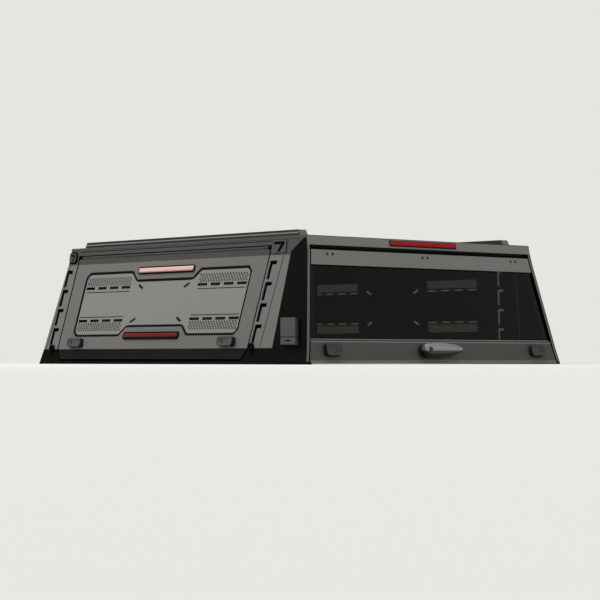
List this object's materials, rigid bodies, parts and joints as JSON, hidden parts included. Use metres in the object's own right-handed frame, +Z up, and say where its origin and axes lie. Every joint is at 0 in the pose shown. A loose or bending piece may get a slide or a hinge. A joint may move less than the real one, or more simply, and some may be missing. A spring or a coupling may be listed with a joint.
{
  "type": "pickup truck canopy",
  "caption": "Folded-sheet pickup truck canopy with lift-up side doors, a lift-up rear glass door, tie slots, tie eyes and roof rails",
  "frame": {"origin": "on the base plane, under the middle of the whole canopy, rear handle included", "axes": "+X to the right seen from behind, +Y to the front, +Z up; the rear glass door faces -Y"},
  "size_m": [1.4322, 1.7248, 0.514],
  "materials": {
    "powder_coat": "fine-textured matt grey powder coat",
    "black_coat": "fine-textured matt black powder coat",
    "black_anodised": "black anodised extrusion",
    "black_plastic": "moulded black plastic",
    "satin_metal": "satin black cast lever",
    "red_lens": "clear red lens",
    "seal_rubber": "soft black sealing rubber",
    "tinted_glass": "dark tinted safety glass"
  },
  "bodies": {
    "canopy": {"roof_panel": "powder_coat", "roof_rail_left": "black_anodised", "roof_rail_right": "black_anodised", "rear_header": "powder_coat", "brake_light": "red_lens", "front_wall": "powder_coat", "front_window": "tinted_glass", "base_frame": "black_coat", "base_seal": "seal_rubber", "cant_rail_left": "powder_coat", "cant_rail_right": "powder_coat", "front_post_left": "powder_coat", "front_post_right": "powder_coat", "rear_post_left": "powder_coat", "rear_post_right": "powder_coat", "rear_quarter_left": "black_coat", "rear_quarter_right": "black_coat", "lower_skirt_left": "black_coat", "lower_skirt_right": "black_coat", "side_jamb_left": "black_coat", "side_jamb_right": "black_coat", "rear_jamb": "powder_coat", "tie_points_left": "black_coat", "tie_points_right": "black_coat", "access_box_left": "black_plastic", "access_box_right": "black_plastic", "side_hinge_left": "black_anodised", "side_hinge_right": "black_anodised", "rear_hinge": "black_anodised"},
    "rear_door": {"rear_glass": "tinted_glass", "rear_door_frame": "black_coat", "rear_door_top_plate": "powder_coat", "rear_door_bottom_rail": "powder_coat", "rear_locks": "black_plastic", "rear_handle_base": "black_plastic"},
    "rear_lever": {"rear_handle_lever": "satin_metal"},
    "door_left": {"side_door_skin_left": "powder_coat", "side_door_frame_left": "black_coat", "side_door_insert_left": "powder_coat", "side_door_lamps_left": "red_lens", "side_door_locks_left": "black_plastic"},
    "door_right": {"side_door_skin_right": "powder_coat", "side_door_frame_right": "black_coat", "side_door_insert_right": "powder_coat", "side_door_lamps_right": "red_lens", "side_door_locks_right": "black_plastic"}
  },
  "joints": [
    {"name": "left_door_hinge", "type": "hinge", "parent": "canopy", "child": "door_left", "pos_m": [-0.62118, 0.075, 0.4475], "axis": [0, 1, 0], "range_deg": [0, 80]},
    {"name": "right_door_hinge", "type": "hinge", "parent": "canopy", "child": "door_right", "pos_m": [0.62118, 0.075, 0.4475], "axis": [0, -1, 0], "range_deg": [0, 80]},
    {"name": "rear_door_hinge", "type": "hinge", "parent": "canopy", "child": "rear_door", "pos_m": [0, -0.73544, 0.4435], "axis": [-1, 0, 0], "range_deg": [0, 80]},
    {"name": "rear_lever_turn", "type": "hinge", "parent": "rear_door", "child": "rear_lever", "pos_m": [-0.084, -0.8178, 0.052], "axis": [0, -0.9813, 0.1926], "range_deg": [0, 90]}
  ]
}
